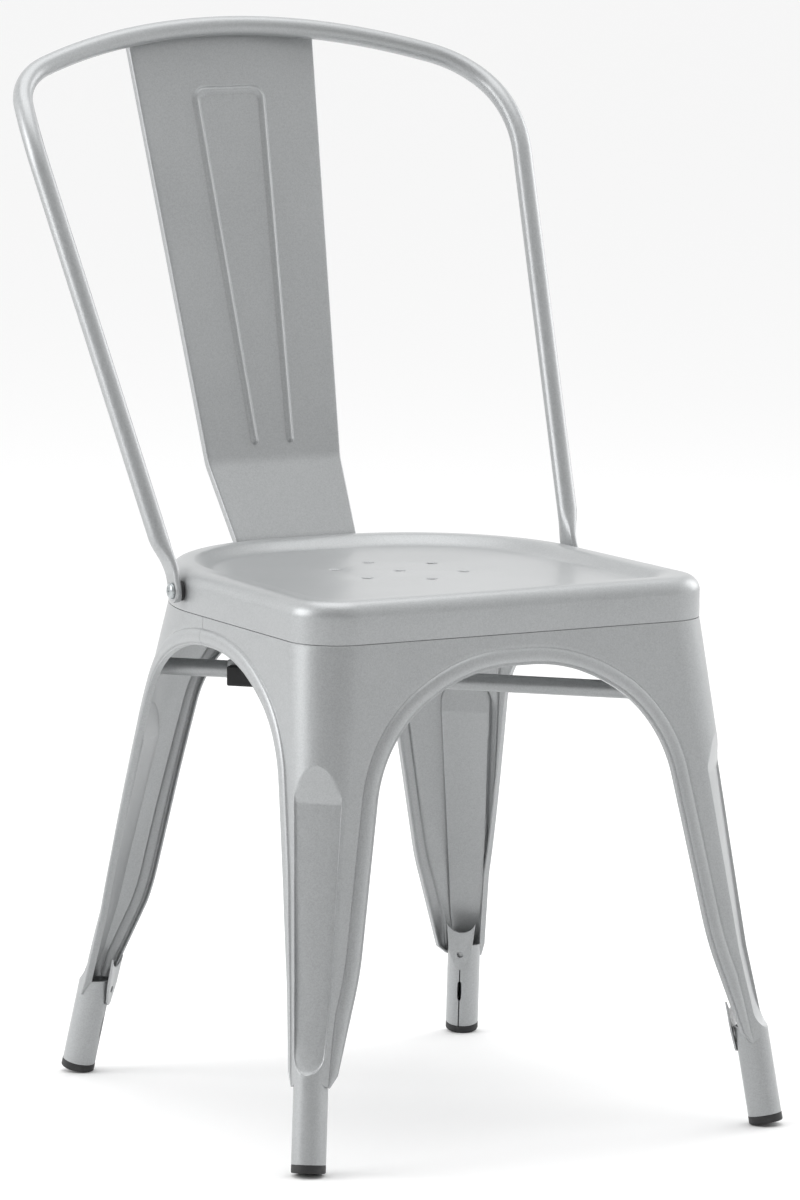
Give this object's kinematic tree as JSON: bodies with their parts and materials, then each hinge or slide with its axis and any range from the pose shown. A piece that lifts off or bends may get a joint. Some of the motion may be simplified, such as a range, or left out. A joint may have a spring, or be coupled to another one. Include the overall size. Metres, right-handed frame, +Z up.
{
  "type": "bistro chair",
  "caption": "Stackable metal bistro chair: pressed seat on four flared sheet-steel legs with arched aprons, bent tube back hoop and one tapered back splat.",
  "frame": {"origin": "bottom middle of the chair's bounding box, on the floor", "axes": "+Z up, +Y towards the chair's back, +X to the right of someone who looks at its front; the feet stand on Z = 0"},
  "size_m": [0.4642, 0.5546, 0.8495],
  "materials": {
    "painted_steel": "satin silver-grey metallic powder coat",
    "black_plastic": "moulded black plastic",
    "rubber": "moulded black rubber",
    "zinc_steel": "bright zinc plate"
  },
  "bodies": {
    "root": {"leg_front_left": "painted_steel", "leg_front_right": "painted_steel", "leg_rear_left": "painted_steel", "leg_rear_right": "painted_steel", "leg_gusset_front_left": "painted_steel", "leg_gusset_front_right": "painted_steel", "leg_gusset_rear_left": "painted_steel", "leg_gusset_rear_right": "painted_steel", "foot_cap_front_left": "black_plastic", "foot_cap_front_right": "black_plastic", "foot_cap_rear_left": "black_plastic", "foot_cap_rear_right": "black_plastic", "seat_pan": "painted_steel", "brace_through": "painted_steel", "brace_front_left": "painted_steel", "brace_rear_right": "painted_steel", "stacking_pad_left": "rubber", "pad_bracket_left": "painted_steel", "stacking_pad_right": "rubber", "pad_bracket_right": "painted_steel", "back_hoop": "painted_steel", "hoop_screw_left": "zinc_steel", "hoop_washer_left": "rubber", "hoop_nut_left": "zinc_steel", "hoop_screw_right": "zinc_steel", "hoop_washer_right": "rubber", "hoop_nut_right": "zinc_steel", "back_splat": "painted_steel", "splat_screws": "zinc_steel", "splat_nuts": "zinc_steel"}
  },
  "joints": []
}
